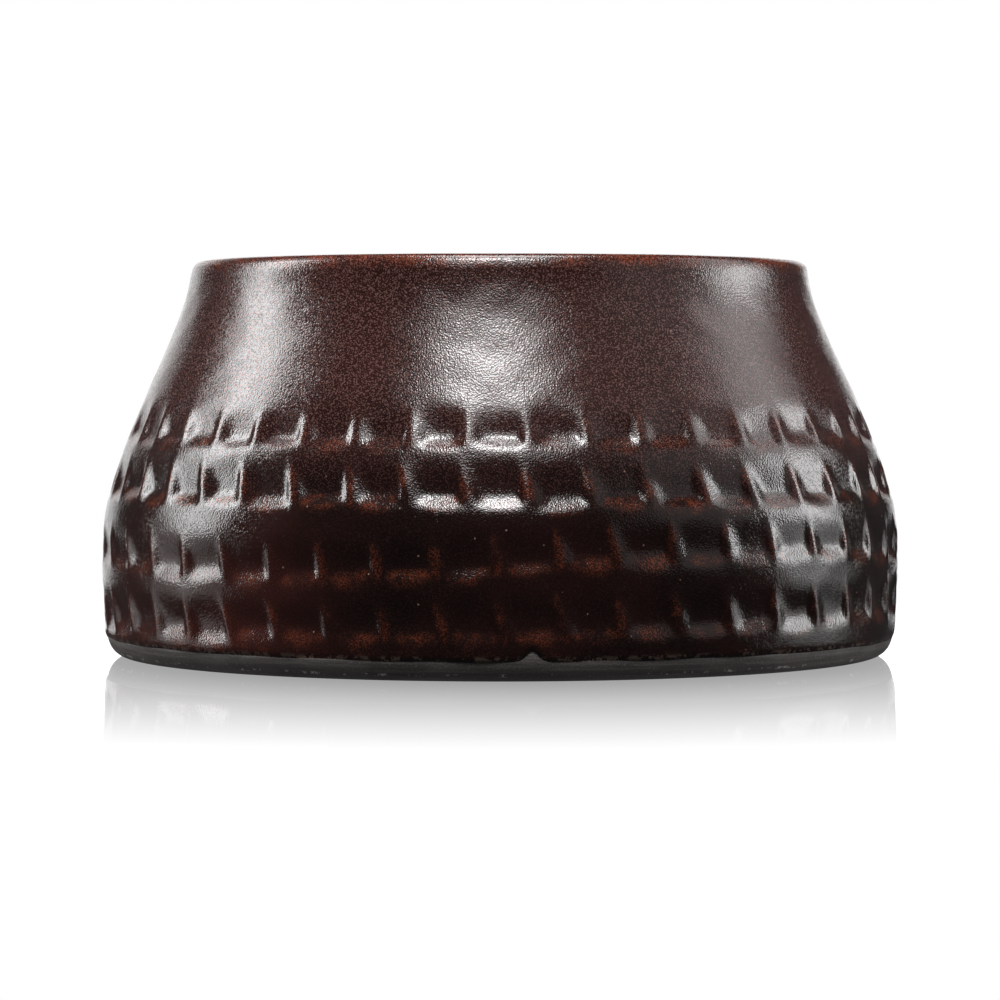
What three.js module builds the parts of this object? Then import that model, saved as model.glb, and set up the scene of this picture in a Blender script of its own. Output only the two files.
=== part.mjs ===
// Stoneware bowl with pressed facets. It is wide at the base and draws in to a short, nearly upright neck.
// The clay body is one piece. The glaze covers it inside and out, down to a line just above the foot.
// Millimetres, +Z up, the foot stands on z = 0, the axis is Z and the front faces -Y.
import * as THREE from "three";

// Overall sizes
const HEIGHT = 98.5;
const BELLY_RADIUS = 100;
const RIM_RADIUS = 77.4;
const LIP_THICKNESS = 5.5;
const WALL_THICKNESS = 7;
const FLOOR_THICKNESS = 6.5;

// Outline of the wall: the neck's upright stretch, the widest height, and how far the belly tucks in below it
const LIP_ROUND = LIP_THICKNESS / 2;
const LIP_CENTRE_Z = HEIGHT - LIP_ROUND;
const NECK_LENGTH = 17;
const NECK_FLARE = 1.7;
const NECK_Z = LIP_CENTRE_Z - NECK_LENGTH;
const FLARE_Z = 51.2;
const BELLY_Z = 27.6;
const TUCK_Z = 11.8;
const TUCK_IN = 1;

// Foot: a bare rounded edge below the glaze line, a contact ring, and a recess inside it
const GLAZE_LINE_Z = 4.9;
const GLAZE_STEP = 0.35;
const FOOT_INSET = 7;
const FOOT_BEVEL = 1;
const FOOT_WIDTH = 9;
const RECESS_DEPTH = 2;
const RECESS_ROUND = 2.5;

// Inside
const FLOOR_TOP = RECESS_DEPTH + FLOOR_THICKNESS;
const INNER_BELLY_RADIUS = BELLY_RADIUS - WALL_THICKNESS;
const INNER_BELLY_Z = 31.5;
const FLOOR_CORNER = 23;
const MOUTH_RADIUS = RIM_RADIUS - LIP_THICKNESS;

// Glaze: its thickness, and the clearance that keeps it off the clay
const GLAZE_THICKNESS = 0.7;
const GLAZE_CLEARANCE = 0.3;
const CLAY_INSET = GLAZE_THICKNESS + GLAZE_CLEARANCE;

// Pressed facets, in two bands of two rows. The lower band runs slightly uphill towards the right.
const RIDGE_WIDTH = 2;
const SOFT_WALL = 2.2;
const STEEP_WALL = 1.1;
const PLAIN_ABOVE = 3;
const LOWER_BAND_RISE = 1.6;
const ROWS = [
  { count: 43, top: 62.3, height: 8.6, depth: 1.7, lean: 0.6, phase: 4, rise: 0 },
  { count: 43, top: 49.9, height: 10, depth: 2, lean: 2.2, phase: 4, rise: 0 },
  { count: 45, top: 34, height: 9.4, depth: 2, lean: 1.6, phase: -0.4, rise: LOWER_BAND_RISE },
  { count: 45, top: 19.6, height: 10.4, depth: 2.1, lean: 2.4, phase: 0.2, rise: LOWER_BAND_RISE },
];

// How far a facet's edges move out on a face that lies one millimetre further in
const INSET_SPREAD = 0.55;

// Sides of a plain ring where it shows, and where one skin hides it
const SHOWN_SIDES = 72;
const HIDDEN_SIDES = 43;

// The shape of a facet from its top edge to its bottom edge: how far down, and how much of its depth
const SHOWN_STEPS = [
  [0, 0],
  [0.36, 0.6],
  [0.85, 1],
  [1, 0],
];
const HIDDEN_STEPS = [
  [0, 0],
  [0.85, 1],
  [1, 0],
];

const outerWall = new THREE.Path();
outerWall.moveTo(RIM_RADIUS, LIP_CENTRE_Z);
outerWall.bezierCurveTo(RIM_RADIUS + NECK_FLARE, NECK_Z, BELLY_RADIUS, FLARE_Z, BELLY_RADIUS, BELLY_Z);
outerWall.quadraticCurveTo(BELLY_RADIUS, TUCK_Z, BELLY_RADIUS - TUCK_IN, GLAZE_LINE_Z);
const outerPoints = outerWall.getPoints(40);

// Radius of the outer face at height z.
function outerRadius(z) {
  const below = outerPoints.findIndex((p) => p.y <= z);
  if (below === 0) return outerPoints[0].x;
  if (below < 0) return outerPoints.at(-1).x;
  const a = outerPoints[below - 1];
  const b = outerPoints[below];
  return THREE.MathUtils.mapLinear(z, a.y, b.y, a.x, b.x);
}

// A point at an angle from the front, turning towards +X.
function polar(radius, angle, z) {
  return new THREE.Vector3(radius * Math.sin(angle), -radius * Math.cos(angle), z);
}

function plainRing(radius, z, sides) {
  return Array.from({ length: sides }, (_, i) => polar(radius, (2 * Math.PI * i) / sides, z));
}

function pole(z) {
  return [new THREE.Vector3(0, 0, z)];
}

// A facet row as rings, top to bottom. A positive inset gives the same facets further in, for a hidden face.
function facetRow(row, inset) {
  const steps = inset > 0 ? HIDDEN_STEPS : SHOWN_STEPS;
  const crest = inset > 0 ? [0] : [-RIDGE_WIDTH / 2, RIDGE_WIDTH / 2];
  const spread = INSET_SPREAD * inset;
  return steps.map(([down, share]) => {
    const level = row.top + spread / 2 - down * (row.height + 1.5 * spread);
    const sideways = row.lean * (down - 0.5);
    const ring = [];
    for (let k = 0; k < row.count; k++) {
      const ridge = THREE.MathUtils.degToRad(row.phase) + (2 * Math.PI * k) / row.count;
      const place = (across, depth) => {
        const angle = ridge + (sideways + across) / BELLY_RADIUS;
        const z = level + row.rise * Math.sin(angle);
        ring.push(polar(outerRadius(z) - depth - inset, angle, z));
      };
      const steep = -RIDGE_WIDTH / 2 - STEEP_WALL * Math.sqrt(share) + spread;
      const soft = RIDGE_WIDTH / 2 + SOFT_WALL * Math.sqrt(share) - spread;
      if (share > 0) place(steep, share * row.depth);
      crest.forEach((across) => place(across, 0));
      if (share > 0) place(soft, share * row.depth);
    }
    return ring;
  });
}

// The outer face from the lip down to the glaze line, as rings.
function outerRings(inset) {
  const sides = inset > 0 ? HIDDEN_SIDES : SHOWN_SIDES;
  const neckSteps = inset > 0 ? 4 : 6;
  const neckFoot = ROWS[0].top + PLAIN_ABOVE;
  const rings = [];
  for (let i = 1; i <= neckSteps; i++) {
    const z = THREE.MathUtils.lerp(LIP_CENTRE_Z, neckFoot, i / neckSteps);
    rings.push(plainRing(outerRadius(z) - inset, z, sides));
  }
  ROWS.forEach((row) => rings.push(...facetRow(row, inset)));
  rings.push(plainRing(outerRadius(GLAZE_LINE_Z) - inset, GLAZE_LINE_Z, sides));
  return rings;
}

// The lip from its inside over to its outside.
function lipRings(inset) {
  const sides = inset > 0 ? HIDDEN_SIDES : SHOWN_SIDES;
  const steps = inset > 0 ? 4 : 8;
  const centre = RIM_RADIUS - LIP_ROUND;
  const round = LIP_ROUND - inset;
  const rings = [];
  for (let i = 0; i <= steps; i++) {
    const turn = Math.PI * (1 - i / steps);
    rings.push(plainRing(centre + round * Math.cos(turn), LIP_CENTRE_Z + round * Math.sin(turn), sides));
  }
  return rings;
}

// The inside from the middle of the floor up to the lip.
function innerRings(inset) {
  const sides = inset > 0 ? HIDDEN_SIDES : SHOWN_SIDES;
  const floor = FLOOR_TOP - inset;
  const belly = INNER_BELLY_RADIUS + inset;
  const mouth = MOUTH_RADIUS + inset;
  const corner = new THREE.Path();
  corner.moveTo(INNER_BELLY_RADIUS - FLOOR_CORNER, floor);
  corner.quadraticCurveTo(belly, floor, belly, INNER_BELLY_Z);
  const wall = new THREE.Path();
  wall.moveTo(belly, INNER_BELLY_Z);
  wall.bezierCurveTo(belly, FLARE_Z, mouth + NECK_FLARE, NECK_Z, mouth, LIP_CENTRE_Z);
  const points = [...corner.getPoints(5), ...wall.getPoints(6).slice(1, -1)];
  return [pole(floor), ...points.map((p) => plainRing(p.x, p.y, sides))];
}

// The bare clay below the glaze line: shoulder, rounded foot, contact ring and the recess under the floor.
function footRings() {
  const bare = outerRadius(GLAZE_LINE_Z) - GLAZE_STEP;
  const shoulder = GLAZE_LINE_Z - GLAZE_CLEARANCE;
  const contact = BELLY_RADIUS - FOOT_INSET;
  const foot = new THREE.Path();
  foot.moveTo(bare, shoulder);
  foot.quadraticCurveTo(bare - FOOT_BEVEL, 0, contact, 0);
  const inner = contact - FOOT_WIDTH;
  const recess = new THREE.Path();
  recess.moveTo(inner, 0);
  recess.quadraticCurveTo(inner, RECESS_DEPTH, inner - RECESS_ROUND, RECESS_DEPTH);
  const points = [...foot.getPoints(5), ...recess.getPoints(4)];
  const ledge = plainRing(outerRadius(GLAZE_LINE_Z) - CLAY_INSET, shoulder, HIDDEN_SIDES);
  return [ledge, ...points.map((p) => plainRing(p.x, p.y, SHOWN_SIDES)), pole(RECESS_DEPTH)];
}

// Triangles between two neighbouring rings, always across the shorter diagonal.
function joinRings(a, b, triangles) {
  const stepsA = a.length > 1 ? a.length : 0;
  const stepsB = b.length > 1 ? b.length : 0;
  const first = b.reduce((best, p, i) => (p.distanceTo(a[0]) < b[best].distanceTo(a[0]) ? i : best), 0);
  let i = 0;
  let j = 0;
  while (i < stepsA || j < stepsB) {
    const onA = a[i % a.length];
    const onB = b[(first + j) % b.length];
    const nextA = a[(i + 1) % a.length];
    const nextB = b[(first + j + 1) % b.length];
    const alongA = j === stepsB || (i < stepsA && nextA.distanceTo(onB) <= nextB.distanceTo(onA));
    triangles.push(onA, onB, alongA ? nextA : nextB);
    if (alongA) i++;
    else j++;
  }
}

// A closed skin over a run of rings that starts and ends on the axis.
function solidOf(name, rings, material) {
  const triangles = [];
  for (let i = 1; i < rings.length; i++) joinRings(rings[i - 1], rings[i], triangles);
  const mesh = new THREE.Mesh(new THREE.BufferGeometry().setFromPoints(triangles), material);
  mesh.name = name;
  return mesh;
}

const clay = new THREE.MeshStandardMaterial({ color: 0x2d2927, roughness: 0.6 });
const glaze = new THREE.MeshStandardMaterial({ color: 0x2a1714, roughness: 0.15 });

// The whole wall from the middle of the floor, up the inside, over the lip and down to the glaze line.
function wallRings(inset) {
  return [...innerRings(inset), ...lipRings(inset), ...outerRings(inset)];
}

const clayRings = [...wallRings(CLAY_INSET), ...footRings()];
const glazeRings = [...wallRings(0), ...wallRings(GLAZE_THICKNESS).reverse()];

const group = new THREE.Group();
group.add(solidOf("stoneware_body", clayRings, clay));
group.add(solidOf("glaze_coat", glazeRings, glaze));

export default group;
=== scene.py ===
"""A glazed stoneware bowl with two bands of pressed facets, in a white studio.

Metres, +Z up, front towards -Y.
"""

import math

import bpy
import numpy as np
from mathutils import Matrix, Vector


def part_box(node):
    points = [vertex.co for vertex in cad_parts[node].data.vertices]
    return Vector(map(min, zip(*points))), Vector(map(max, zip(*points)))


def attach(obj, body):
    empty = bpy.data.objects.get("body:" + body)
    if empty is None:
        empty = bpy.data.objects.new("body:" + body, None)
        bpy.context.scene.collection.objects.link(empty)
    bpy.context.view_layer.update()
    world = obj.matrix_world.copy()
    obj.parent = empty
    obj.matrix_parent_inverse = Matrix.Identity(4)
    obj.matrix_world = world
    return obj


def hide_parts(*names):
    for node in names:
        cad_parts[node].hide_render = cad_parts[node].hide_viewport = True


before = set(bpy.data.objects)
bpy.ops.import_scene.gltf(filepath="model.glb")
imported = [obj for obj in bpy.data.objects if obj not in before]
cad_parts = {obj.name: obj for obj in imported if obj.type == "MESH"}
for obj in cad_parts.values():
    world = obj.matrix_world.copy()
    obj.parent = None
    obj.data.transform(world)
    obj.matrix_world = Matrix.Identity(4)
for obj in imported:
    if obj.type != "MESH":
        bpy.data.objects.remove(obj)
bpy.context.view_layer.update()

MM = 0.001
SEED = 7

# Sizes read from the frame
GLAZE_LOW, GLAZE_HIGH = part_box("glaze_coat")
GLAZE_LINE_Z = GLAZE_LOW[2]
HEIGHT = GLAZE_HIGH[2]

# The bowl's outline, as in the part's source
BELLY_RADIUS = 100 * MM
LIP_THICKNESS = 5.5 * MM
LIP_ROUND = LIP_THICKNESS / 2
LIP_CENTRE_Z = HEIGHT - LIP_ROUND
RIM_RADIUS = 77.4 * MM
NECK_LENGTH = 17 * MM
NECK_FLARE = 1.7 * MM
NECK_Z = LIP_CENTRE_Z - NECK_LENGTH
FLARE_Z = 51.2 * MM
BELLY_Z = 27.6 * MM
TUCK_Z = 11.8 * MM
TUCK_IN = 1 * MM
WALL_THICKNESS = 7 * MM
FLOOR_TOP = 8.5 * MM
FLOOR_CORNER = 23 * MM
INNER_BELLY_RADIUS = BELLY_RADIUS - WALL_THICKNESS
INNER_BELLY_Z = 31.5 * MM
MOUTH_RADIUS = RIM_RADIUS - LIP_THICKNESS
FOOT_INSET = 7 * MM
FOOT_BEVEL = 1 * MM
FOOT_WIDTH = 9 * MM
RECESS_DEPTH = 2 * MM
RECESS_ROUND = 2.5 * MM
GLAZE_STEP = 0.35 * MM

# Steps along each curve of the outline
GLAZE_FOOT_STEPS = 24
WALL_STEPS = 90
LIP_STEPS = 32
INNER_WALL_STEPS = 60
FLOOR_CORNER_STEPS = 40
FLOOR_STEPS = 30
RECESS_STEPS = 30
RECESS_ROUND_STEPS = 10
CONTACT_STEPS = 6
FOOT_EDGE_STEPS = 18

# Rows of marks, top to bottom: how many, top and height, depth, lean of the ridges, angle of the first
# ridge in degrees, how much the row climbs towards +X and wanders, how far the top edge arches, as a share
# of the height, the flat left on each side of a ridge, and how steep the right-hand side and the ledge are
FACET_ROWS = [
    dict(count=43, top=63.0, height=9.6, depth=1.3, lean=0.6, phase=4.0, rise=0.0, wander=0.0,
         arch=0.2, ridge=1.0, right=0.9, ledge=0.46),
    dict(count=43, top=50.4, height=10.8, depth=1.45, lean=2.2, phase=4.0, rise=0.0, wander=0.0,
         arch=0.08, ridge=0.9, right=1.0, ledge=0.46),
    dict(count=45, top=34.1, height=10.0, depth=1.25, lean=1.6, phase=-0.4, rise=1.6, wander=1.6,
         arch=0.05, ridge=0.8, right=1.3, ledge=0.38),
    dict(count=45, top=20.0, height=11.0, depth=1.35, lean=2.4, phase=0.2, rise=1.6, wander=0.0,
         arch=0.05, ridge=0.8, right=1.3, ledge=0.38),
]
for facet_row in FACET_ROWS:
    for key in ("top", "height", "depth", "lean", "rise", "wander", "ridge"):
        facet_row[key] *= MM
MARKS_TOP = 66 * MM
WANDERS_PER_TURN = 3

# All marks: how steep the left-hand and upper sides are, how far the ledge bows up at its ends, how round
# the edges are, and how far from a side its own slope still counts
LEFT_SLOPE = 0.42
TOP_SLOPE = 0.22
LEDGE_BOW = 0.9 * MM
FLOOR_SOFTNESS = 0.28 * MM
EDGE_SOFTNESS = 0.22 * MM
SIDE_REACH = 9 * MM

# How unlike each other the marks are: their ridges, the lean of those, their top and foot edges, and, as
# shares, their depth, the tilt of their floor and the sag of their ledge
RIDGE_SPREAD = 0.35 * MM
LEAN_SPREAD = 0.45 * MM
TOP_SPREAD = 0.35 * MM
FOOT_SPREAD = 0.3 * MM
DEPTH_SPREAD = 0.18
TILT_SPREAD = 0.12
SAG_SPREAD = 0.02

# The edge of the glaze over the foot: its waver, its rounded fall, and the one place where it drew back
EDGE_WAVER = 0.2 * MM
EDGE_FALL = 0.3 * MM
EDGE_ROUND = 1.2 * MM
EDGE_BLEND = 5 * MM
GAP_ANGLE = math.radians(4.3)
GAP_HALF = math.radians(1.1)
GAP_RISE = 2.6 * MM

# Waves of a hand-made surface: how far they reach, their seed, how many they are, and the most of them in
# a turn and in a metre of height
SLOW_WAVES = (0.12 * MM, SEED + 20, 7, 9, 25)
QUICK_WAVES = (0.065 * MM, SEED + 21, 12, 40, 120)
LIP_WAVES = (0.05 * MM, SEED + 30, 9, 24, 1)
EDGE_WAVES = (EDGE_WAVER, SEED + 40, 14, 36, 0)
WEAKEST_WAVE = 0.5
LIP_WAVE_HEIGHTS = (LIP_CENTRE_Z - 2 * MM, LIP_CENTRE_Z + 1 * MM)

# Where the glaze ran thin on the marks: the height of a crest over what is round it, the slope of a
# right-hand side and the slope of a ledge, each with where it starts, where it is full, and how much it adds
THIN_CREST = (0.07 * MM, 0.22 * MM, 0.6)
THIN_FLANK = (0.5, 1.0, 0.9)
THIN_SHELF = (0.12, 0.3, 0.6)
CREST_REACH = 3

# How much of that shows, by height: most in the second row, least in the first
THIN_HEIGHTS = (20 * MM, 36 * MM, 42 * MM, 50 * MM, 54 * MM)
THIN_AMOUNTS = (0.72, 0.72, 0.85, 0.85, 0.5)
THIN_LIP = 0.75
THIN_LIP_HEIGHTS = (LIP_CENTRE_Z - 1 * MM, LIP_CENTRE_Z + 1 * MM)

# How far the hidden faces lie under the outline: at the glaze edge, behind the marks, and elsewhere; and
# the heights where they go from the first of these to the second, and from the second to the last
GLAZE_BACK = (0.37 * MM, 2.2 * MM, 0.7 * MM)
CLAY_FACE = (GLAZE_STEP, 2.5 * MM, 1.0 * MM)
HIDDEN_HEIGHTS = (6.5 * MM, 10 * MM, MARKS_TOP - 2 * MM, MARKS_TOP + 2 * MM)

# Points in a ring, and the distance from one ring to the next
FINE_COLUMNS = 744
COARSE_COLUMNS = 186
FOOT_COLUMNS = 360
MARKS_SPACING = 0.8 * MM
LIP_SPACING = 0.95 * MM
NECK_SPACING = 2.1 * MM
INSIDE_SPACING = 3.6 * MM
GLAZE_BACK_SPACING = 5 * MM
CLAY_FACE_SPACING = 3 * MM


# ---------------------------------------------------------------- outline

def bezier(points, steps):
    """Points along a Bezier curve with any number of control points."""
    t = np.linspace(0, 1, steps + 1)[:, None]
    p = [np.array(q, dtype=float) for q in points]
    while len(p) > 1:
        p = [a * (1 - t) + b * t for a, b in zip(p[:-1], p[1:])]
    return p[0]


def resample(points, spacing):
    """The same outline with its points about spacing(z) apart."""
    step = np.hypot(*np.diff(points, axis=0).T)
    along = np.concatenate([[0], np.cumsum(step)])
    place = [0.0]
    while place[-1] < along[-1]:
        z = np.interp(place[-1], along, points[:, 1])
        place.append(place[-1] + spacing(z))
    place = np.array(place) * along[-1] / place[-1]
    return np.stack([np.interp(place, along, points[:, 0]), np.interp(place, along, points[:, 1])], axis=1)


def outer_outline():
    """From the glaze line up the outside and over the lip to the inside of the mouth."""
    glaze_foot = [
        (BELLY_RADIUS - TUCK_IN, GLAZE_LINE_Z),
        (BELLY_RADIUS, TUCK_Z),
        (BELLY_RADIUS, BELLY_Z),
    ]
    wall = [
        (BELLY_RADIUS, BELLY_Z),
        (BELLY_RADIUS, FLARE_Z),
        (RIM_RADIUS + NECK_FLARE, NECK_Z),
        (RIM_RADIUS, LIP_CENTRE_Z),
    ]
    turn = np.linspace(0, math.pi, LIP_STEPS + 1)
    centre = RIM_RADIUS - LIP_ROUND
    lip = np.stack([centre + LIP_ROUND * np.cos(turn), LIP_CENTRE_Z + LIP_ROUND * np.sin(turn)], axis=1)
    return np.concatenate([bezier(glaze_foot, GLAZE_FOOT_STEPS), bezier(wall, WALL_STEPS)[1:], lip[1:]])


def inner_outline():
    """From the inside of the mouth down the inside and across the floor to the axis."""
    corner_radius = INNER_BELLY_RADIUS - FLOOR_CORNER
    wall = [
        (MOUTH_RADIUS, LIP_CENTRE_Z),
        (MOUTH_RADIUS + NECK_FLARE, NECK_Z),
        (INNER_BELLY_RADIUS, FLARE_Z),
        (INNER_BELLY_RADIUS, INNER_BELLY_Z),
    ]
    corner = [
        (INNER_BELLY_RADIUS, INNER_BELLY_Z),
        (INNER_BELLY_RADIUS, FLOOR_TOP),
        (corner_radius, FLOOR_TOP),
    ]
    floor = [(corner_radius, FLOOR_TOP), (0, FLOOR_TOP)]
    return np.concatenate([
        bezier(wall, INNER_WALL_STEPS),
        bezier(corner, FLOOR_CORNER_STEPS)[1:],
        bezier(floor, FLOOR_STEPS)[1:],
    ])


def foot_outline():
    """From the middle of the recess, over the ring that the bowl stands on, to just under the glaze line."""
    contact = BELLY_RADIUS - FOOT_INSET
    inner = contact - FOOT_WIDTH
    recess_edge = inner - RECESS_ROUND
    bare = BELLY_RADIUS - TUCK_IN - GLAZE_STEP
    recess = [(0, RECESS_DEPTH), (recess_edge, RECESS_DEPTH)]
    recess_round = [(recess_edge, RECESS_DEPTH), (inner, RECESS_DEPTH), (inner, 0)]
    ring = [(inner, 0), (contact, 0)]
    edge = [(contact, 0), (bare - FOOT_BEVEL, 0), (bare, GLAZE_LINE_Z)]
    return np.concatenate([
        bezier(recess, RECESS_STEPS),
        bezier(recess_round, RECESS_ROUND_STEPS)[1:],
        bezier(ring, CONTACT_STEPS)[1:],
        bezier(edge, FOOT_EDGE_STEPS)[1:-1],
    ])


def unit_tangent(outline):
    """The direction of an outline at each of its points."""
    tangent = np.gradient(outline, axis=0)
    return tangent / np.hypot(*tangent.T)[:, None]


def hidden_outline(spacing, depths):
    """A face hidden between glaze and clay, under the outline by its depths at the edge, marks and rest."""
    outline = resample(np.concatenate([outer_outline(), inner_outline()[1:]]), lambda z: spacing)
    edge, marks, rest = depths
    inside = np.arange(len(outline)) > np.argmax(outline[:, 1])
    depth = np.interp(outline[:, 1], HIDDEN_HEIGHTS, [edge, marks, marks, rest])
    depth = np.where(inside, rest, depth)[:, None]
    along_radius, along_z = unit_tangent(outline).T
    outward = np.stack([along_z, -along_radius], axis=1)
    return outline - outward * depth


# ---------------------------------------------------------------- surface relief

def smooth(low, high, x):
    """Smooth step from 0 at low to 1 at high."""
    t = np.clip((x - low) / (high - low), 0, 1)
    return t * t * (3 - 2 * t)


def waves(angle, z, reach, seed, count, per_turn, per_metre):
    """Gentle unevenness of a hand-made surface, about reach high."""
    rng = np.random.default_rng(seed)
    total = np.zeros_like(angle)
    for _ in range(count):
        turns = rng.integers(1, per_turn + 1)
        climb = rng.uniform(-1, 1) * per_metre * 2 * math.pi
        strength = rng.uniform(WEAKEST_WAVE, 1)
        total += strength * np.sin(turns * angle + climb * z + rng.uniform(0, 2 * math.pi))
    return reach * total / math.sqrt(count)


def mark_errors(row, seed):
    """How each mark of a row differs from the others: an array for each kind of difference."""
    rng = np.random.default_rng(seed)
    count = row["count"]
    return dict(
        ridge=rng.normal(0, RIDGE_SPREAD, count),
        lean=rng.normal(0, LEAN_SPREAD, count),
        top=rng.normal(0, TOP_SPREAD, count),
        foot=rng.normal(0, FOOT_SPREAD, count),
        depth=row["depth"] * rng.uniform(1 - DEPTH_SPREAD, 1 + DEPTH_SPREAD, count),
        tilt=rng.normal(0, TILT_SPREAD, count),
        sag=rng.normal(0, SAG_SPREAD, count),
    )


def place_in_row(angle, below_middle, radius, row, errors):
    """Which mark of a row each point is in, and how far it is from the ridges on its left and right."""
    count = row["count"]
    pitch = 2 * math.pi / count
    turn = (angle - math.radians(row["phase"]) - row["lean"] * below_middle / BELLY_RADIUS) / pitch

    def ridge_offset(i):
        return (errors["ridge"][i % count] + errors["lean"][i % count] * below_middle) / radius

    def distances(k):
        from_left = ((turn - k) * pitch - ridge_offset(k)) * radius
        from_right = ((k + 1 - turn) * pitch + ridge_offset(k + 1)) * radius
        return from_left, from_right

    k = np.floor(turn).astype(int)
    from_left, from_right = distances(k)
    # Where a ridge's own shift puts the point on its other side, the point belongs to the next mark.
    k = k + (from_right < 0).astype(int) - (from_left < 0).astype(int)
    from_left, from_right = distances(k)
    return k % count, from_left, from_right


def softly_least(sides):
    """The least of the sides and never below 0, rounded where one side takes over from another."""
    shares = sum(np.exp(-np.clip(side, -SIDE_REACH, SIDE_REACH) / FLOOR_SOFTNESS) for side in sides)
    pressed = -FLOOR_SOFTNESS * np.log(shares)
    return EDGE_SOFTNESS * np.log1p(np.exp(pressed / EDGE_SOFTNESS))


def facet_depth(angle, z, radius, row, seed):
    """How deep a row of pressed marks goes in at each point. No two marks are quite alike."""
    errors = mark_errors(row, seed)
    height = row["height"]
    level = row["top"] + row["rise"] * np.sin(angle) + row["wander"] * np.sin(WANDERS_PER_TURN * angle)
    below_middle = (level - z) / height - 0.5
    mark, from_left, from_right = place_in_row(angle, below_middle, radius, row, errors)
    across = (from_left - from_right) / (from_left + from_right)
    arch = height * row["arch"] * across ** 2
    bow = LEDGE_BOW * across ** 2 - errors["sag"][mark] * across * height
    return softly_least([
        LEFT_SLOPE * (from_left - row["ridge"]),
        row["right"] * (from_right - row["ridge"]),
        TOP_SLOPE * (level + errors["top"][mark] - z - arch),
        row["ledge"] * (z - level - errors["foot"][mark] + height - bow),
        errors["depth"][mark] * (1 + errors["tilt"][mark] * across),
    ])


def relief(angle, z, radius):
    """Outward relief of the glaze: pressed marks, throwing unevenness and the fall at its edge."""
    out = np.zeros_like(angle)
    for i, row in enumerate(FACET_ROWS):
        out -= facet_depth(angle, z, radius, row, SEED + i)
    lip = smooth(*LIP_WAVE_HEIGHTS, z)
    uneven = waves(angle, z, *SLOW_WAVES) + waves(angle, z, *QUICK_WAVES)
    out += uneven * (1 - lip) + waves(angle, z, *LIP_WAVES) * lip
    return out - EDGE_FALL * (1 - smooth(GLAZE_LINE_Z, GLAZE_LINE_Z + EDGE_ROUND, z))


def edge_shift(angle):
    """How far the lower edge of the glaze rises at each angle."""
    from_gap = np.angle(np.exp(1j * (angle - GAP_ANGLE))) / GAP_HALF
    return waves(angle, 0 * angle, *EDGE_WAVES) + GAP_RISE * np.exp(-from_gap ** 2)


def blurred(grid, reach):
    """A grid averaged over a square window, wrapping round the bowl."""
    size = 2 * reach + 1
    for axis, mode in ((1, "wrap"), (0, "edge")):
        pad = [(0, 0), (0, 0)]
        pad[axis] = (reach, reach)
        total = np.cumsum(np.pad(grid, pad, mode=mode), axis=axis)
        total = np.insert(total, 0, 0, axis=axis)
        high = np.take(total, range(size, total.shape[axis]), axis=axis)
        low = np.take(total, range(0, total.shape[axis] - size), axis=axis)
        grid = (high - low) / size
    return grid


def thin_glaze(push, outline):
    """Where glaze runs thin, from 0 to 1: on crests, steep right-hand sides and ledges, and on the lip."""
    arc = outline[:, :1] * 2 * math.pi / FINE_COLUMNS
    crest = push - blurred(push, CREST_REACH)
    flank = (np.roll(push, -1, axis=1) - np.roll(push, 1, axis=1)) / (2 * arc)
    shelf = -np.gradient(push, axis=0) / np.hypot(*np.gradient(outline, axis=0).T)[:, None]
    measures = ((crest, THIN_CREST), (flank, THIN_FLANK), (shelf, THIN_SHELF))
    marks = sum(amount * smooth(low, high, measure) for measure, (low, high, amount) in measures)
    marks = np.clip(marks, 0, 1) * np.interp(outline[:, 1:], THIN_HEIGHTS, THIN_AMOUNTS)
    lip = smooth(*THIN_LIP_HEIGHTS, outline[:, 1:])
    return np.maximum(marks * (1 - lip), THIN_LIP * lip)


# ---------------------------------------------------------------- meshes

def strip(low, high):
    """Faces between two rings of point numbers.

    A ring may be one point, or have a whole number of times as many points as the other.
    """
    if len(low) == 1:
        return [(low[0], b, a) for a, b in zip(high, np.roll(high, -1))]
    if len(high) == 1:
        return [(a, b, high[0]) for a, b in zip(low, np.roll(low, -1))]
    if len(low) == len(high):
        return list(zip(low, np.roll(low, -1), np.roll(high, -1), high))
    if len(low) < len(high):
        return [face[::-1] for face in strip(high, low)]
    step = len(low) // len(high)
    near = high[(np.arange(len(low)) + (step + 1) // 2) // step % len(high)]
    faces = list(zip(low, np.roll(low, -1), near))
    for point, here, before in zip(low, near, np.roll(near, 1)):
        if here != before:
            faces.append((point, here, before))
    return faces


def store_thin(mesh, thin):
    """Keeps how thin the glaze is with the first points of a mesh, for the material. The others get 0."""
    values = np.zeros(len(mesh.vertices), dtype=np.float32)
    values[:thin.size] = thin.reshape(-1)
    mesh.attributes.new("thin", "FLOAT", "POINT").data.foreach_set("value", values)


def loft(name, rings, closed):
    """A closed mesh through rings of points; closed also joins the last ring to the first."""
    starts = np.cumsum([0] + [len(ring) for ring in rings])
    numbers = [np.arange(a, b) for a, b in zip(starts[:-1], starts[1:])]
    faces = []
    for low, high in zip(numbers[:-1], numbers[1:]):
        if len(low) > 1 or len(high) > 1:
            faces += strip(low, high)
    if closed:
        faces += strip(numbers[-1], numbers[0])
    mesh = bpy.data.meshes.new(name)
    mesh.from_pydata(np.concatenate(rings).tolist(), [], [tuple(map(int, face)) for face in faces])
    mesh.shade_smooth()
    piece = bpy.data.objects.new(name, mesh)
    bpy.context.collection.objects.link(piece)
    return piece


def full_turn(columns):
    """Evenly spaced angles all the way round."""
    return np.arange(columns) * 2 * math.pi / columns


def around(radius, angle, z):
    """Points round the axis, their angles counted from the front."""
    radius, angle, z = np.broadcast_arrays(radius, angle, z)
    return np.stack([radius * np.sin(angle), -radius * np.cos(angle), z], axis=-1)


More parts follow.
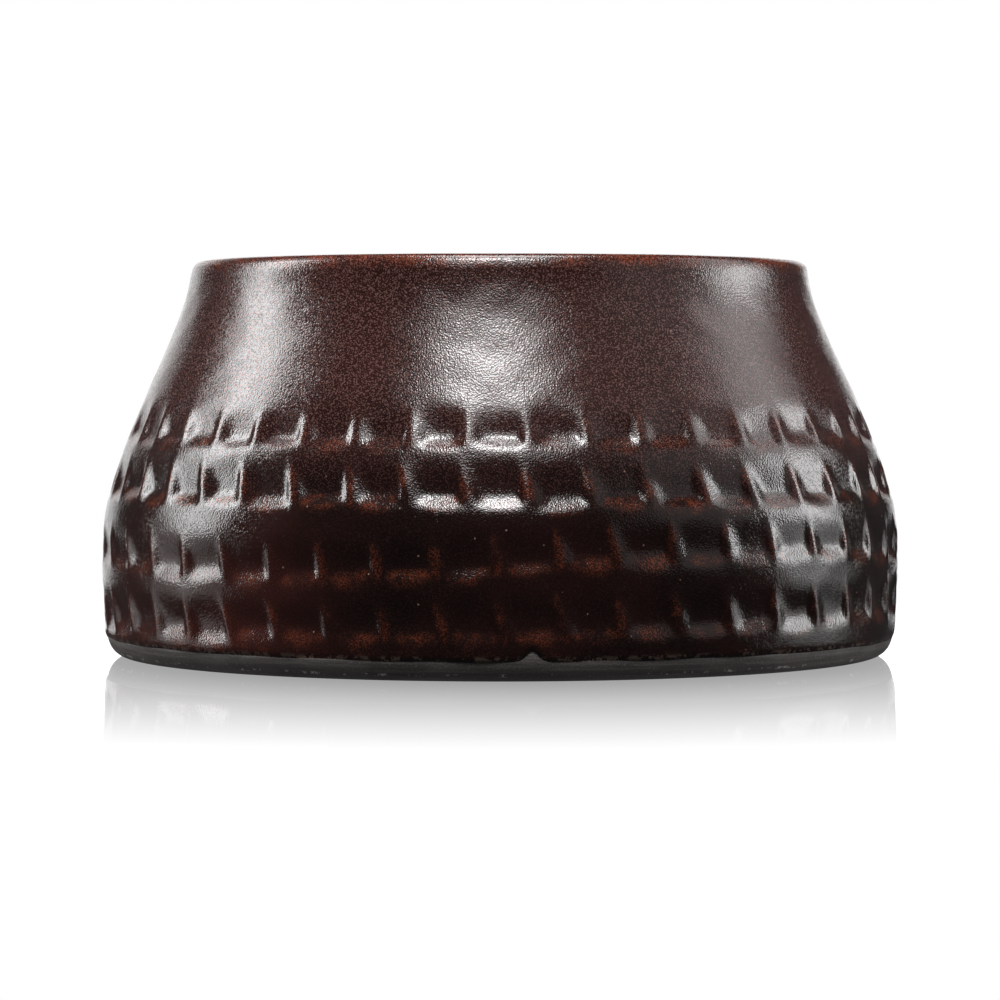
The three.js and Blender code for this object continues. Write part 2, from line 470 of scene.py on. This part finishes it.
def rings_of(outline, columns):
    """Rings of points, one for each point of an outline; a point on the axis makes a pole."""
    rings = []
    for radius, z in outline:
        if radius < MM:
            rings.append(np.array([[0.0, 0.0, z]]))
        else:
            rings.append(around(radius, full_turn(columns), z))
    return rings


def outer_spacing(z):
    """Fine rings where there are marks and on the lip, wider ones on the plain neck."""
    if z > LIP_CENTRE_Z:
        return LIP_SPACING
    return NECK_SPACING if z > MARKS_TOP else MARKS_SPACING


def glaze_face(turn):
    """The outside of the glaze as rings of points, and how thin it is at each of them."""
    outside = resample(outer_outline(), outer_spacing)
    angle, row = np.meshgrid(turn, np.arange(len(outside)))
    radius, z = outside[row, 0], outside[row, 1]
    push = relief(angle, z, radius)
    tangent = unit_tangent(outside)
    near_edge = 1 - smooth(GLAZE_LINE_Z, GLAZE_LINE_Z + EDGE_BLEND, z)
    z = z - push * tangent[row, 0] + edge_shift(angle) * near_edge
    radius = radius + push * tangent[row, 1]
    return list(around(radius, angle, z)), thin_glaze(push, outside)


def build_glaze():
    """One closed skin: the outside, the lip, the inside and floor, and the face against the clay."""
    turn = full_turn(FINE_COLUMNS)
    face, thin = glaze_face(turn)
    inside = resample(inner_outline(), lambda z: INSIDE_SPACING)[1:]
    back = hidden_outline(GLAZE_BACK_SPACING, GLAZE_BACK)
    back[0, 1] = GLAZE_LINE_Z + GAP_RISE + 2 * EDGE_WAVER
    edge = around(back[0, 0], turn, GLAZE_LINE_Z + edge_shift(turn))
    rings = face + rings_of(inside, COARSE_COLUMNS) + rings_of(back[::-1], COARSE_COLUMNS) + [edge]
    glaze = loft("glaze", rings, closed=True)
    store_thin(glaze.data, thin)
    return glaze


def build_clay():
    """The thrown body: its recessed, rounded foot, and all that lies hidden under the glaze."""
    outline = np.concatenate([foot_outline(), hidden_outline(CLAY_FACE_SPACING, CLAY_FACE)])
    return loft("stoneware", rings_of(outline, FOOT_COLUMNS), closed=False)


# ---------------------------------------------------------------- materials

# Glaze colours: thick, thinner, grain that is partly painted glints and sheen, rust, specks and broken edge
THICK_COLOUR = (0.0042, 0.0012, 0.0009)
THINNER_COLOUR = (0.032, 0.0082, 0.0064)
GRAIN_AND_GLINT_COLOUR = (0.088, 0.044, 0.039)
RUST_COLOUR = (0.17, 0.038, 0.016)
SPECK_COLOUR = (0.2, 0.12, 0.09)
FRAYED_COLOUR = (0.09, 0.062, 0.05)

# Clay colours: darkest, lightest, turning lines, sand and scuffs
DARK_CLAY_COLOUR = (0.055, 0.049, 0.046)
LIGHT_CLAY_COLOUR = (0.085, 0.077, 0.072)
LINE_COLOUR = (0.13, 0.12, 0.112)
SAND_COLOUR = (0.17, 0.155, 0.145)
SCUFF_COLOUR = (0.5, 0.48, 0.46)

# Noises: scale per metre, detail and roughness
GRAIN_NOISE = (2700, 0, 0.5)
PEEL_NOISE = (900, 1, 0.5)
SWELL_NOISE = (280, 2, 0.5)
RED_NOISE = (38, 3, 0.5)
PATCH_NOISE = (180, 3, 0.6)
FRAYED_NOISE = (420, 4, 0.7)
SAND_NOISE = (1800, 2, 0.6)
LINE_NOISE = (1500, 2, 0.5)
CLAY_NOISE = (90, 3, 0.5)
SCUFF_NOISE = (330, 4, 0.7)
SPECK_CELLS = 700
LINE_STRETCH = (0.03, 0.03, 1)

# Ramps: a value from the first number to the second becomes an amount from the third to the fourth
RED_BY_CLOUD = (0.38, 0.66, 0.0, 0.22)
RED_BY_LEFT = (-20 * MM, -60 * MM, 0.0, 0.6)
RED_BY_LOWNESS = (45 * MM, 20 * MM, 0.0, 1.0)
RED_BY_NECK = (40 * MM, 70 * MM, 0.0, 0.36)
# The pale grain below is partly the glaze's own grain and partly painted glints, and it is painted sheen
# where it grows with height up the neck
GRAIN_AND_GLINTS_SHOWN = (0.5, 0.67, 0.0, 1.0)
GRAIN_AND_SHEEN_BY_HEIGHT = (35 * MM, 70 * MM, 0.1, 1.0)
RUST_BROKEN = (0.36, 0.66, 0.05, 1.0)
RUST_SPECKLED = (0.42, 0.6, 0.12, 1.0)
SPECK_DOT = (0.1, 0.2, 1.0, 0.0)
SPECK_CHOSEN = (0.95, 0.985, 0.0, 1.0)
FRAYED_BY_HEIGHT = (5.2 * MM, 6.4 * MM, 1.0, 0.0)
FRAYED_BROKEN = (0.5, 0.56, 0.0, 1.0)
GLAZE_ROUGHNESS = (0.38, 0.62, 0.2, 0.09)
CLAY_CLOUDED = (0.35, 0.65, 0.0, 1.0)
LINES_SHOWN = (0.45, 0.7, 0.0, 0.6)
SAND_SHOWN = (0.55, 0.75, 0.0, 0.6)
SCUFF_BROKEN = (0.55, 0.61, 0.0, 1.0)
SCUFF_BY_HEIGHT = (0.1 * MM, 0.5 * MM, 1.0, 0.0)
SCUFF_Z = 1.6 * MM

GLAZE_IOR = 1.5
CLAY_ROUGHNESS = 0.5

# Relief too fine for the meshes: its height, and shares of the glaze's peel and swell and the clay's lines
GLAZE_BUMP = 0.06 * MM
PEEL_SHARE = 0.3
SWELL_SHARE = 0.5
CLAY_BUMP = 0.12 * MM
LINE_SHARE = 0.8


class Graph:
    """A node tree with a short call for each kind of node used here. Values are sockets or constants."""

    def __init__(self, tree):
        self.nodes = tree.nodes
        self.links = tree.links

    def put(self, socket, value):
        if isinstance(value, bpy.types.NodeSocket):
            self.links.new(value, socket)
        elif socket.type == "RGBA":
            socket.default_value = (*value, 1)
        else:
            socket.default_value = value

    def node(self, kind, **inputs):
        """A new node with some of its inputs put in by name."""
        node = self.nodes.new(kind)
        for name, value in inputs.items():
            self.put(node.inputs[name.replace("_", " ")], value)
        return node

    def place(self):
        return self.node("ShaderNodeTexCoord").outputs["Object"]

    def noise(self, place, scale, detail, roughness):
        node = self.node("ShaderNodeTexNoise", Vector=place, Scale=scale, Detail=detail, Roughness=roughness)
        return node.outputs["Fac"]

    def ramp(self, value, low, high, out_low, out_high, kind="SMOOTHSTEP"):
        """A value taken from low..high to out_low..out_high and clamped."""
        node = self.node("ShaderNodeMapRange", From_Min=low, From_Max=high, To_Min=out_low, To_Max=out_high)
        node.interpolation_type = kind
        self.put(node.inputs["Value"], value)
        return node.outputs["Result"]

    def maths(self, operation, *values):
        node = self.nodes.new("ShaderNodeMath")
        node.operation = operation
        for socket, value in zip(node.inputs, values):
            self.put(socket, value)
        return node.outputs[0]

    def add(self, a, b):
        return self.maths("ADD", a, b)

    def multiply(self, a, b):
        return self.maths("MULTIPLY", a, b)

    def mix(self, amount, a, b):
        """Colour a, going over to colour b by an amount."""
        node = self.nodes.new("ShaderNodeMix")
        node.data_type = "RGBA"
        colours = [socket for socket in node.inputs if socket.type == "RGBA"]
        for socket, value in zip([node.inputs[0]] + colours, (amount, a, b)):
            self.put(socket, value)
        return next(socket for socket in node.outputs if socket.type == "RGBA")

    def mix_shaders(self, amount, a, b):
        node = self.nodes.new("ShaderNodeMixShader")
        for socket, value in zip(node.inputs, (amount, a, b)):
            self.put(socket, value)
        return node.outputs[0]

    def bump(self, height, distance):
        return self.node("ShaderNodeBump", Strength=1, Distance=distance, Height=height).outputs["Normal"]


def new_material(name):
    material = bpy.data.materials.new(name)
    material.use_nodes = True
    return material, Graph(material.node_tree)


def thick_glaze(graph, place, axes, grain):
    """Black brown with a light grain, partly the glaze's own and partly painted glints and sheen that grow up
    the neck, and redder in clouds, low on the left and up the neck.
    """
    left = graph.ramp(axes["X"], *RED_BY_LEFT)
    low_left = graph.multiply(left, graph.ramp(axes["Z"], *RED_BY_LOWNESS))
    red = graph.add(graph.ramp(graph.noise(place, *RED_NOISE), *RED_BY_CLOUD), low_left)
    red = graph.add(red, graph.ramp(axes["Z"], *RED_BY_NECK))
    body = graph.mix(red, THICK_COLOUR, THINNER_COLOUR)
    # Pale grain: partly the glaze's own, partly painted glints and sheen, growing with height up the neck
    grit_and_glints = graph.multiply(graph.ramp(grain, *GRAIN_AND_GLINTS_SHOWN), graph.ramp(axes["Z"], *GRAIN_AND_SHEEN_BY_HEIGHT))
    return graph.mix(grit_and_glints, body, GRAIN_AND_GLINT_COLOUR)


def rusted(graph, place, grain, body):
    """Rust where the glaze ran thin, broken up so that it never makes a clean line."""
    thin = graph.node("ShaderNodeAttribute")
    thin.attribute_name = "thin"
    broken = graph.ramp(graph.noise(place, *PATCH_NOISE), *RUST_BROKEN)
    amount = graph.multiply(thin.outputs["Fac"], broken)
    amount = graph.multiply(amount, graph.ramp(grain, *RUST_SPECKLED))
    return graph.mix(amount, body, RUST_COLOUR)


def specked(graph, place, body):
    """A pale speck in the middle of a few cells."""
    cells = graph.node("ShaderNodeTexVoronoi", Vector=place, Scale=SPECK_CELLS)
    dots = graph.ramp(cells.outputs["Distance"], *SPECK_DOT)
    draw = graph.node("ShaderNodeSeparateColor", Color=cells.outputs["Color"]).outputs[0]
    return graph.mix(graph.multiply(dots, graph.ramp(draw, *SPECK_CHOSEN)), body, SPECK_COLOUR)


def frayed(graph, place, axes, body):
    """Broken and paler where the glaze ends."""
    low = graph.ramp(axes["Z"], *FRAYED_BY_HEIGHT)
    broken = graph.ramp(graph.noise(place, *FRAYED_NOISE), *FRAYED_BROKEN)
    return graph.mix(graph.multiply(low, broken), body, FRAYED_COLOUR)


def glaze_material():
    """Dark iron glaze: nearly black where thick, rust red where it runs thin, finely pitted and specked."""
    material, graph = new_material("brown_glaze")
    shader = graph.nodes["Principled BSDF"]
    place = graph.place()
    axes = graph.node("ShaderNodeSeparateXYZ", Vector=place).outputs
    grain = graph.noise(place, *GRAIN_NOISE)
    body = thick_glaze(graph, place, axes, grain)
    body = rusted(graph, place, grain, body)
    body = specked(graph, place, body)
    body = frayed(graph, place, axes, body)
    graph.put(shader.inputs["Base Color"], body)
    graph.put(shader.inputs["Roughness"], graph.ramp(grain, *GLAZE_ROUGHNESS))
    shader.inputs["IOR"].default_value = GLAZE_IOR

    peel = graph.multiply(graph.noise(place, *PEEL_NOISE), PEEL_SHARE)
    swell = graph.multiply(graph.noise(place, *SWELL_NOISE), SWELL_SHARE)
    height = graph.add(graph.add(grain, peel), swell)
    graph.put(shader.inputs["Normal"], graph.bump(height, GLAZE_BUMP))
    return material


def scuffed(graph, place, body):
    """Pale scuffs where the foot has rubbed, a little above the ground."""
    axes = graph.node("ShaderNodeSeparateXYZ", Vector=place).outputs
    from_scuffs = graph.maths("ABSOLUTE", graph.maths("SUBTRACT", axes["Z"], SCUFF_Z))
    rubbed = graph.ramp(from_scuffs, *SCUFF_BY_HEIGHT)
    broken = graph.ramp(graph.noise(place, *SCUFF_NOISE), *SCUFF_BROKEN)
    return graph.mix(graph.multiply(broken, rubbed), body, SCUFF_COLOUR)


def clay_material():
    """Bare dark stoneware: dry, sandy, with turning lines round it."""
    material, graph = new_material("bare_clay")
    shader = graph.nodes["Principled BSDF"]
    place = graph.place()
    sand = graph.noise(place, *SAND_NOISE)
    stretched = graph.node("ShaderNodeMapping", Vector=place, Scale=LINE_STRETCH)
    lines = graph.noise(stretched.outputs["Vector"], *LINE_NOISE)
    clouded = graph.ramp(graph.noise(place, *CLAY_NOISE), *CLAY_CLOUDED)
    body = graph.mix(clouded, DARK_CLAY_COLOUR, LIGHT_CLAY_COLOUR)
    body = graph.mix(graph.ramp(lines, *LINES_SHOWN), body, LINE_COLOUR)
    body = graph.mix(graph.ramp(sand, *SAND_SHOWN), body, SAND_COLOUR)
    graph.put(shader.inputs["Base Color"], scuffed(graph, place, body))
    shader.inputs["Roughness"].default_value = CLAY_ROUGHNESS
    height = graph.add(sand, graph.multiply(lines, LINE_SHARE))
    graph.put(shader.inputs["Normal"], graph.bump(height, CLAY_BUMP))
    return material


# ---------------------------------------------------------------- studio

# Soft lights as the bowl sees them: azimuth from the front, elevation, width and height in degrees, radiance
SOFTBOXES = {
    "left_box": (-96, 24, 18, 44, 9.0),
    "left_hot": (-95, 30, 14, 22, 5.0),
    "left_high": (-112, 48, 14, 14, 2.0),
    "left_low": (-97, -6, 26, 14, 1.1),
    "right_box": (97, 19, 27, 44, 2.7),
    "right_hot": (96, 12, 22, 18, 6.0),
    "right_fill": (60, 24, 40, 42, 0.4),
    "right_high": (114, 47, 16, 16, 2.5),
    "right_low": (98, -8, 26, 12, 1.4),
    "front_top": (-4, 52, 30, 32, 5.0),
    "front_hot": (-5, 57, 16, 17, 25.0),
    "overhead": (0, 90, 24, 28, 11.0),
    "left_rim": (-160, 8, 28, 28, 1.2),
    "right_rim": (168, 8, 22, 28, 1.4),
}
SOFTBOX_DISTANCE = 1.1
SOFTBOX_AIM = Vector((0, 0, 50 * MM))

BACKDROP_COLOUR = (1, 1, 1)
ROOM_COLOUR = (0.052, 0.05, 0.051)

# The floor: its size, how far it lies below the bowl, how clear a mirror it is, and how that fades away
FLOOR_HALF = 6.0
FLOOR_DROP = 0.2 * MM
MIRROR_ROUGHNESS = 0.02
MIRROR_FADE = (95 * MM, 252 * MM, 0.64, 0.0)

# White cards round the floor, and the glow under the foot
CARD_COUNT = 4
CARD_DISTANCE = 4.0
CARD_WIDTH = 9.0
CARD_HEIGHT = 6.0
CARD_BELOW_FLOOR = 1.0
CARD_RADIANCE = 1.0
GLOW_DEPTH = 0.25
GLOW_WIDTH = 1.4
GLOW_RADIANCE = 0.07

CAMERA_PLACE = (0, -0.988, 0.0704)
CAMERA_AIM = (0, 0, 0.0386)
CAMERA_SENSOR = 36
CAMERA_LENS = 141


def look_at(thing, target):
    thing.rotation_euler = (Vector(target) - thing.location).to_track_quat("-Z", "Y").to_euler()


def area_light(name, place, target, width, height, radiance):
    """A rectangle of light that the camera does not see."""
    light = bpy.data.lights.new(name, "AREA")
    light.shape = "RECTANGLE"
    light.size = width
    light.size_y = height
    light.energy = math.pi * width * height * radiance
    thing = bpy.data.objects.new(name, light)
    bpy.context.collection.objects.link(thing)
    thing.location = place
    look_at(thing, target)
    thing.visible_camera = False
    return thing


def light_only(lamps, piece, name):
    """Makes lamps light one piece and nothing else."""
    lit = bpy.data.collections.new(name)
    lit.objects.link(piece)
    for lamp in lamps:
        lamp.light_linking.receiver_collection = lit


def softbox(name, azimuth, elevation, across, tall, radiance):
    turn, rise = math.radians(azimuth), math.radians(elevation)
    towards = Vector((math.sin(turn) * math.cos(rise), -math.cos(turn) * math.cos(rise), math.sin(rise)))
    width = 2 * SOFTBOX_DISTANCE * math.tan(math.radians(across / 2))
    height = 2 * SOFTBOX_DISTANCE * math.tan(math.radians(tall / 2))
    area_light(name, SOFTBOX_AIM + towards * SOFTBOX_DISTANCE, SOFTBOX_AIM, width, height, radiance)


def build_world():
    """White behind everything for the camera, and a dim room for the bowl."""
    world = bpy.data.worlds.new("studio")
    bpy.context.scene.world = world
    world.use_nodes = True
    graph = Graph(world.node_tree)
    backdrop = graph.node("ShaderNodeBackground", Color=BACKDROP_COLOUR)
    room = graph.nodes["Background"]
    graph.put(room.inputs["Color"], ROOM_COLOUR)
    to_camera = graph.node("ShaderNodeLightPath").outputs["Is Camera Ray"]
    mixed = graph.mix_shaders(to_camera, room.outputs[0], backdrop.outputs[0])
    graph.put(graph.nodes["World Output"].inputs["Surface"], mixed)


def floor_material():
    """Glowing white with a mirror over it, clear by the bowl and fading away from it."""
    material, graph = new_material("white_acrylic")
    graph.nodes.remove(graph.nodes["Principled BSDF"])
    white = graph.node("ShaderNodeEmission")
    mirror = graph.node("ShaderNodeBsdfGlossy", Roughness=MIRROR_ROUGHNESS)
    distance = graph.node("ShaderNodeVectorMath", Vector=graph.place())
    distance.operation = "LENGTH"
    fade = graph.ramp(distance.outputs["Value"], *MIRROR_FADE, kind="LINEAR")
    mixed = graph.mix_shaders(fade, white.outputs[0], mirror.outputs[0])
    graph.put(graph.nodes["Material Output"].inputs["Surface"], mixed)
    return material


def build_floor():
    """A white table that the camera sees, and that gives the bowl no light, shadow or reflection."""
    mesh = bpy.data.meshes.new("studio_floor")
    corners = [(x * FLOOR_HALF, y * FLOOR_HALF, 0) for x, y in ((-1, -1), (1, -1), (1, 1), (-1, 1))]
    mesh.from_pydata(corners, [], [(0, 1, 2, 3)])
    mesh.materials.append(floor_material())
    floor = bpy.data.objects.new("studio_floor", mesh)
    bpy.context.collection.objects.link(floor)
    floor.location.z = -FLOOR_DROP
    floor.visible_glossy = False
    floor.visible_diffuse = False
    floor.visible_shadow = False
    return floor


def white_surround(floor):
    """White cards that only the floor reflects, so that its sheen shows nothing but the bowl."""
    middle_z = CARD_HEIGHT / 2 - CARD_BELOW_FLOOR
    cards = []
    for i in range(CARD_COUNT):
        turn = i * 2 * math.pi / CARD_COUNT
        place = (CARD_DISTANCE * math.cos(turn), CARD_DISTANCE * math.sin(turn), middle_z)
        aim = (0, 0, middle_z)
        cards.append(area_light(f"floor_card_{i}", place, aim, CARD_WIDTH, CARD_HEIGHT, CARD_RADIANCE))
    light_only(cards, floor, "floor_only")


def foot_glow(clay):
    """Light from below on the bare clay, which the floor itself gives none."""
    glow = area_light("foot_glow", (0, 0, -GLOW_DEPTH), (0, 0, 0), GLOW_WIDTH, GLOW_WIDTH, GLOW_RADIANCE)
    light_only([glow], clay, "foot_only")


def build_camera():
    data = bpy.data.cameras.new("camera")
    data.sensor_width = CAMERA_SENSOR
    data.lens = CAMERA_LENS
    camera = bpy.data.objects.new("camera", data)
    bpy.context.collection.objects.link(camera)
    camera.location = CAMERA_PLACE
    look_at(camera, CAMERA_AIM)
    bpy.context.scene.camera = camera


# ---------------------------------------------------------------- build

build_camera()
for name, settings in SOFTBOXES.items():
    softbox(name, *settings)
build_world()
white_surround(build_floor())
bpy.context.scene.view_settings.view_transform = "Standard"

glaze = build_glaze()
clay = build_clay()
foot_glow(clay)
for piece, material, slot in ((glaze, glaze_material(), "brown_glaze"), (clay, clay_material(), "bare_clay")):
    piece.data.materials.append(material)
    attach(piece, "root")
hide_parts("glaze_coat")
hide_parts("stoneware_body")
